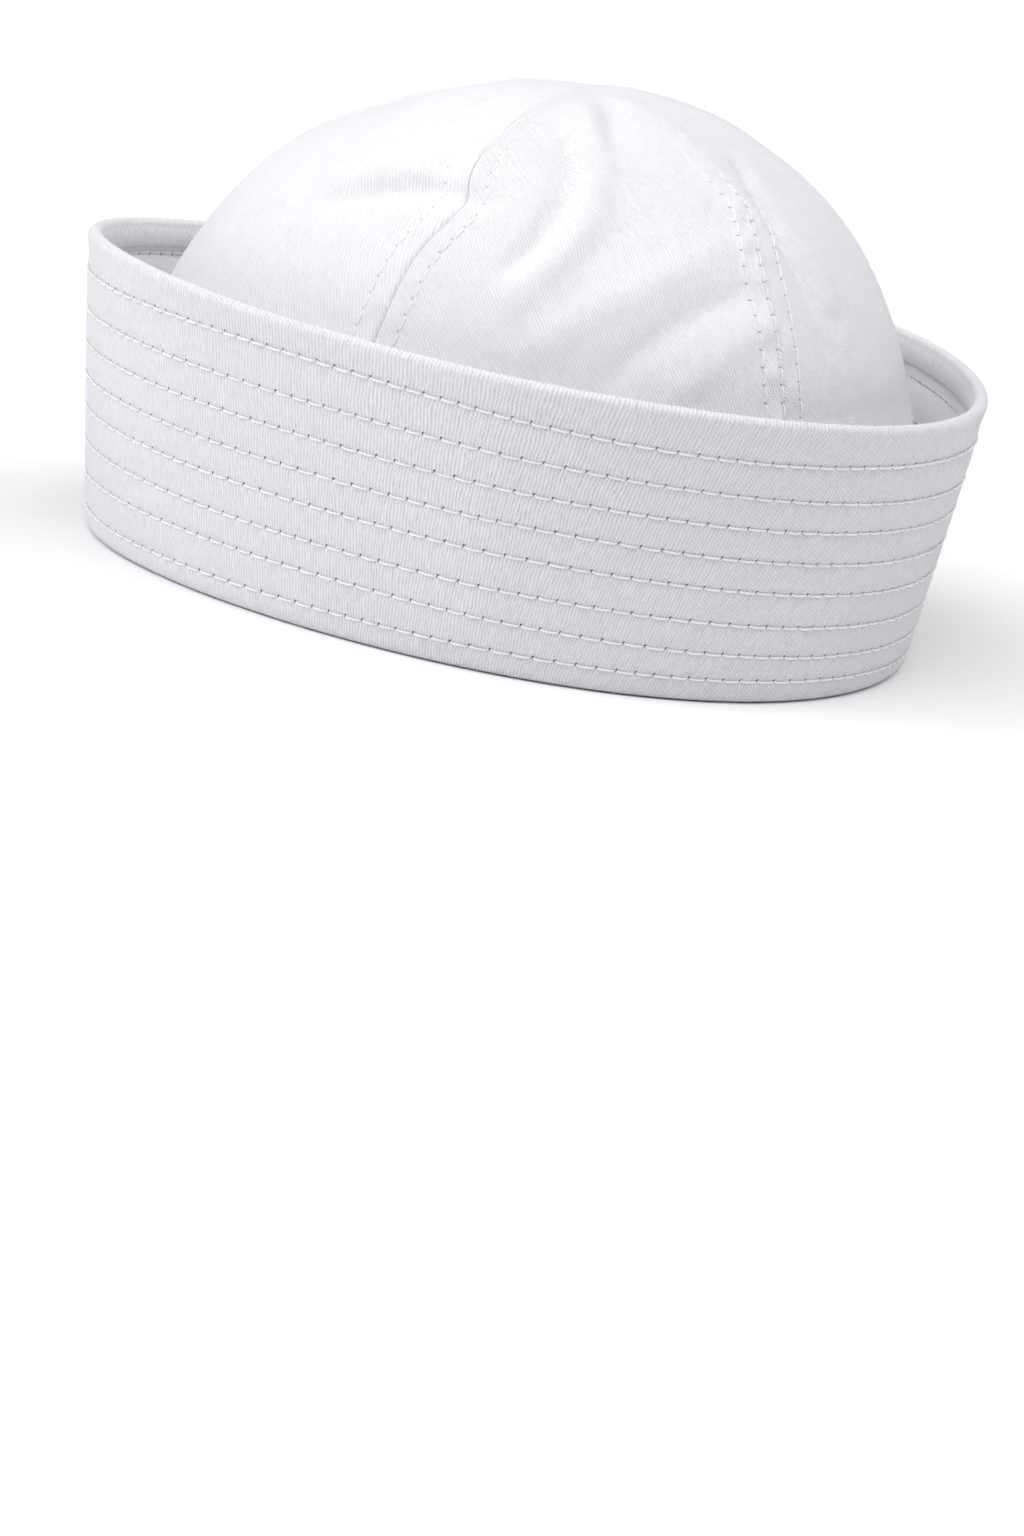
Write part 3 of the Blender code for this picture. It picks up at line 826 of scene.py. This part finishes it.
def brim_threads(name, inside, material):
    """All the stitches on one side of the brim."""
    chance = np.random.default_rng(4)
    fine = np.linspace(-0.2, 2 * math.pi + 0.2, 9001)  # a little more than once round
    rows = []
    for number, row in enumerate(ROW_LIST):
        passed = stitches_passed(number, fine)

        def path(places, row=row, passed=passed):
            turn = np.interp(places, passed, fine)
            z = row_height(row, turn)
            out = flare(z, rim_height(turn)) + swell(turn, z)
            out = out - BRIM_WALL + THREAD_SINK if inside else out - THREAD_SINK
            points = ring_points(turn, out, z)
            further = ring_points(turn, out + (-MM if inside else MM), z)
            return points, further - points

        first = math.ceil(float(stitches_passed(number, 0.0)))
        starts = first + np.arange(row_stitches(row))
        rows.append(stitch_frames(path, starts, 1.0, chance.uniform(-1, 1, len(starts))))
    return thread_piece(name, rows, material)


def crown_threads(name, inside, material):
    """All the stitches on one side of the crown's seams."""
    chance = np.random.default_rng(9)
    rows = []
    for (number, row), line in CROWN_ROWS.items():
        if inside and row == THIRD_ROW:
            continue  # it only holds the edge of the upper panel
        first = math.ceil(line.start)
        last = math.floor(line.start + line.length[-1] / CROWN_STITCH)
        starts = (np.arange(first, last) - line.start) * CROWN_STITCH

        def path(lengths, line=line):
            points, normals = line.at(lengths)
            if inside:
                return points - normals * (CROWN_CLOTH + SEAM_EXTRA + INSIDE_THREAD_LIFT), -normals
            return points - normals * line.sink(lengths), normals

        rows.append(stitch_frames(path, starts, CROWN_STITCH, chance.uniform(-1, 1, len(starts))))
    return thread_piece(name, rows, material)


class Nodes:
    """A material's node tree, with short ways to add to it."""

    def __init__(self, name):
        self.material = bpy.data.materials.new(name)
        self.material.use_nodes = True
        self.tree = self.material.node_tree
        self.shader = self.tree.nodes["Principled BSDF"]

    def fill(self, node, inputs):
        """Links outputs to a node's sockets, or sets numbers and colours on them."""
        for socket, value in inputs.items():
            if isinstance(value, bpy.types.NodeSocket):
                self.tree.links.new(value, node.inputs[socket])
            else:
                node.inputs[socket].default_value = value

    def add(self, kind, inputs, **settings):
        """A new node's outputs."""
        node = self.tree.nodes.new(kind)
        for key, value in settings.items():
            setattr(node, key, value)
        self.fill(node, inputs)
        return node.outputs

    def math(self, operation, *values):
        return self.add("ShaderNodeMath", dict(enumerate(values)), operation=operation)[0]

    def noise(self, scale, detail=2.0, roughness=0.5, vector=None):
        """Soft noise over the object, with about this many features in a metre, or over a given vector."""
        if vector is None:
            vector = self.add("ShaderNodeTexCoord", {})["Object"]
        inputs = {"Vector": vector, "Scale": scale, "Detail": detail, "Roughness": roughness}
        return self.add("ShaderNodeTexNoise", inputs)["Fac"]

    def vector(self, x, y):
        return self.add("ShaderNodeCombineXYZ", {"X": x, "Y": y})[0]

    def map(self, name):
        """The two numbers of a UV map."""
        pair = self.add("ShaderNodeUVMap", {}, uv_map=name)[0]
        split = self.add("ShaderNodeSeparateXYZ", {0: pair})
        return split[0], split[1]

    def mix(self, share, first, second):
        """A colour between two, by a share."""
        return self.add("ShaderNodeMix", {0: share, 6: first, 7: second}, data_type="RGBA")[2]

    def bump(self, height, distance, strength, under=None):
        """A normal that follows a height, over another normal if one is given."""
        inputs = {"Height": height, "Distance": distance, "Strength": strength}
        if under is not None:
            inputs["Normal"] = under
        return self.add("ShaderNodeBump", inputs)["Normal"]

    def wave(self, phase):
        """0 to 1, once for each whole number of the phase."""
        turned = self.math("MULTIPLY", phase, 2 * math.pi)
        return self.math("MULTIPLY_ADD", self.math("SINE", turned), 0.5, 0.5)


def opaque(colour):
    return (*colour, 1.0)


def twill_weave(cloth, pitch, lean, lines):
    """The height of the weave, and the fine unevenness in it."""
    u, v = cloth.map("weave")
    drift = cloth.math("MULTIPLY_ADD", cloth.noise(scale=130, detail=3), LINE_DRIFT, -LINE_DRIFT / 2)
    cosine, sine = math.cos(lean) / pitch, math.sin(lean) / pitch
    across = cloth.math("MULTIPLY_ADD", u, cosine, cloth.math("MULTIPLY", v, sine))
    along = cloth.math("MULTIPLY_ADD", v, cosine, cloth.math("MULTIPLY", u, -sine))
    line = cloth.wave(cloth.math("ADD", across, drift))
    aside = cloth.math("MULTIPLY", across, FLOATS_ACROSS)
    floats = cloth.wave(cloth.math("MULTIPLY_ADD", along, FLOATS_ALONG, aside))
    stretched = cloth.vector(across, cloth.math("MULTIPLY", along, SLUB_STRETCH))
    slubs = cloth.noise(scale=1.0, detail=2, roughness=0.6, vector=stretched)
    uneven = cloth.noise(scale=900, detail=2)
    height = cloth.math("MULTIPLY", line, lines)
    for part, strength in ((floats, FLOATS), (slubs, SLUBS), (uneven, UNEVEN)):
        height = cloth.math("MULTIPLY_ADD", part, strength, height)
    return height, uneven


def painted_hole_shade(cloth, stitch):
    """Where painted shade darkens a needle hole: 1 in the hole, 0 beside it, and less where the row's marks
    are weak.
    """
    passed, off_row = cloth.map("stitch")
    to_stitch = cloth.math("SUBTRACT", passed, cloth.math("ROUND", passed))
    up = cloth.math("SUBTRACT", off_row, HOLE_UP)
    beside = cloth.math("MULTIPLY_ADD", up, -HOLE_SHEAR, cloth.math("MULTIPLY", to_stitch, stitch / MM))
    long = cloth.math("DIVIDE", up, HOLE_LENGTH)
    square = cloth.math("MULTIPLY_ADD", beside, beside, cloth.math("MULTIPLY", long, long))
    start, end = (edge * HOLE_RADIUS / MM for edge in HOLE_EDGE)
    inputs = {"From Min": start, "From Max": end, "To Min": 1.0, "To Max": 0.0}
    inputs["Value"] = cloth.math("SQRT", square)
    hole = cloth.add("ShaderNodeMapRange", inputs, interpolation_type="SMOOTHSTEP")[0]
    return cloth.math("MULTIPLY", hole, cloth.map("marks")[0])


def twill_material(name, pitch, lean, stitch, lines, light, dark, hole_shade):
    """White cotton twill, with its diagonal and its crinkle, and painted shade in the weave's hollows and in
    its needle holes.
    """
    cloth = Nodes(name)
    weave, uneven = twill_weave(cloth, pitch, lean, lines)
    middle = (lines + FLOATS + SLUBS + UNEVEN) / 2
    # painted shade: the lower the weave, the darker the colour
    shade = cloth.math("MULTIPLY_ADD", weave, -CONTRAST, SHADED + CONTRAST * middle)
    tone = cloth.math("MULTIPLY_ADD", cloth.noise(scale=28, detail=3), MOTTLE, shade)
    colour = cloth.mix(tone, opaque(light), opaque(dark))
    # painted shade in the needle holes
    colour = cloth.mix(painted_hole_shade(cloth, stitch), colour, opaque(hole_shade))
    creases = cloth.noise(scale=240, detail=4, roughness=0.55)
    crinkle = cloth.bump(creases, distance=0.6 * MM, strength=0.35)
    yarns = cloth.bump(weave, distance=0.26 * MM, strength=0.9, under=crinkle)
    rough = cloth.math("MULTIPLY_ADD", uneven, 0.12, 0.82)
    cloth.fill(cloth.shader, {
        "Base Color": colour, "Normal": yarns, "Roughness": rough, "Specular IOR Level": 0.25,
        "Sheen Weight": 0.18, "Sheen Roughness": 0.55,
    })
    return cloth.material


def thread_material():
    """White sewing thread, two plies twisted together, with painted shade between them."""
    thread = Nodes("sewing_thread")
    along, round_it = thread.map("twist")
    turned = thread.math("MULTIPLY", round_it, PLIES)
    plies = thread.wave(thread.math("MULTIPLY_ADD", along, PLY_MARKS, turned))
    relief = thread.bump(plies, distance=0.10 * MM, strength=0.6)
    colour = thread.mix(plies, opaque([PLY_SHADE * part for part in THREAD_WHITE]), opaque(THREAD_WHITE))
    inputs = {"Base Color": colour, "Normal": relief, "Roughness": 0.6, "Sheen Weight": 0.15}
    thread.fill(thread.shader, inputs)
    return thread.material


def floor_material():
    """Plain white paper."""
    floor = Nodes("floor_paper")
    inputs = {"Base Color": opaque(FLOOR_WHITE), "Roughness": 0.9, "Specular IOR Level": 0.1}
    floor.fill(floor.shader, inputs)
    return floor.material


def build_cap():
    """The cap's cloth and thread, each piece on its body."""
    brim = twill_material("brim_twill_cloth", RIB_PITCH, 0.0, BRIM_STITCH, BRIM_LINES,
                          BRIM_COTTON, BRIM_SHADE, BRIM_HOLE_SHADE)
    # painted light: the crown's cloth is painted lighter than the brim's, though it is the same cotton
    crown = twill_material("crown_twill_cloth", CROWN_TWILL_PITCH, CROWN_TWILL_LEAN, CROWN_STITCH,
                           CROWN_LINES, CROWN_LIT_COTTON, CROWN_LIT_WEAVE_SHADE, CROWN_HOLE_SHADE)
    # painted light: the inner ply takes the crown's lighter colours, though it is the brim's cotton
    lit_inner_brim = twill_material("brim_inner_twill_painted_lighter", RIB_PITCH, 0.0, BRIM_STITCH, BRIM_LINES,
                                CROWN_LIT_COTTON, CROWN_LIT_WEAVE_SHADE, BRIM_HOLE_SHADE)
    thread = thread_material()
    outer = brim_piece("brim_outer_cloth", outer_cloth, BRIM_COLUMNS, brim, True)
    inner = brim_piece("brim_inner_cloth", inner_cloth, INNER_COLUMNS, lit_inner_brim, False)
    pieces = [(outer, "brim_outer_ply", "brim_twill"), (inner, "brim_inner_ply", "brim_twill")]
    for number in range(len(SEAMS)):
        pieces.append((panel_piece(number, crown), f"crown_panel_{number + 1}", "crown_twill"))
    for piece, node, slot in pieces:
        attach(piece, "root")
        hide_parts(node)
    threads = [
        (brim_threads("brim_thread_outside", False, thread), "brim_twill"),
        (brim_threads("brim_thread_inside", True, thread), "brim_twill"),
        (crown_threads("crown_thread_outside", False, thread), "crown_twill"),
        (crown_threads("crown_thread_inside", True, thread), "crown_twill"),
    ]
    for piece, slot in threads:
        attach(piece, "root")


def build_floor():
    """A plain white floor, just under the cap's foot."""
    reach = FLOOR_REACH
    corners = np.array([[-reach, -reach, -FLOOR_DROP], [reach, -reach, -FLOOR_DROP],
                        [reach, reach, -FLOOR_DROP], [-reach, reach, -FLOOR_DROP]])
    floor = new_piece("floor", corners, np.array([[0, 1, 2, 3]]), {}, floor_material())


def build_backdrop():
    """A plain white wall all round, for the low views. Only the camera sees it, so it throws no light."""
    paper = Nodes("backdrop_paper")
    paper.fill(paper.shader, {
        "Base Color": (0.0, 0.0, 0.0, 1.0), "Specular IOR Level": 0.0,
        "Emission Color": (1.0, 1.0, 1.0, 1.0), "Emission Strength": 1.0,
    })
    turn = np.linspace(0, 2 * math.pi, BACKDROP_SIDES, endpoint=False)
    x, y = BACKDROP_RADIUS * np.cos(turn), BACKDROP_RADIUS * np.sin(turn)
    heights = (-FLOOR_DROP, BACKDROP_HEIGHT)
    points = np.stack([np.stack([x, y, height + 0 * turn], -1) for height in heights])
    faces, _ = grid_faces(1, BACKDROP_SIDES, BACKDROP_SIDES, wrap_columns=True)
    wall = new_piece("backdrop", points, faces, {}, paper.material)
    wall.visible_diffuse = False
    wall.visible_glossy = False
    wall.visible_shadow = False


def build_light():
    """The lamps and the dim sky."""
    for row in rows_of(LAMPS, LAMP_COLUMNS):
        lamp = bpy.data.objects.new(row["name"], bpy.data.lights.new(row["name"], "SUN"))
        lamp.data.energy = row["strength"]
        lamp.data.angle = math.radians(row["softness"])
        lamp.rotation_euler = (0.0, math.radians(90 - row["elevation"]), math.radians(row["turn"]))
        bpy.context.scene.collection.objects.link(lamp)
    world = bpy.data.worlds.new("soft_studio")
    world.use_nodes = True
    sky = world.node_tree.nodes["Background"]
    sky.inputs["Color"].default_value = (1.0, 1.0, 1.0, 1.0)
    sky.inputs["Strength"].default_value = SKY_STRENGTH
    bpy.context.scene.world = world
    bpy.context.scene.view_settings.view_transform = "Standard"


def build_camera():
    """The camera at the photograph's angle."""
    azimuth, elevation, roll = (math.radians(a) for a in (CAMERA_AZIMUTH, CAMERA_ELEVATION, CAMERA_ROLL))
    level = math.cos(elevation)
    back = np.array([math.sin(azimuth) * level, -math.cos(azimuth) * level, math.sin(elevation)])
    right = np.array([math.cos(azimuth), math.sin(azimuth), 0.0])
    up = np.cross(back, right)
    across = math.cos(roll) * right - math.sin(roll) * up
    upward = math.sin(roll) * right + math.cos(roll) * up
    place = CAMERA_AIM + CAMERA_DISTANCE * back - CAMERA_ACROSS * across - CAMERA_UP * upward
    camera = bpy.data.objects.new("camera", bpy.data.cameras.new("camera"))
    camera.data.lens = CAMERA_LENS
    camera.data.clip_start = 0.05
    axes = np.column_stack([across, upward, back, place])
    camera.matrix_world = Matrix([*axes.tolist(), (0.0, 0.0, 0.0, 1.0)])
    bpy.context.scene.collection.objects.link(camera)
    bpy.context.scene.camera = camera


def main():
    """Builds the scene."""
    build_camera()
    build_light()
    build_floor()
    build_backdrop()
    build_cap()


main()
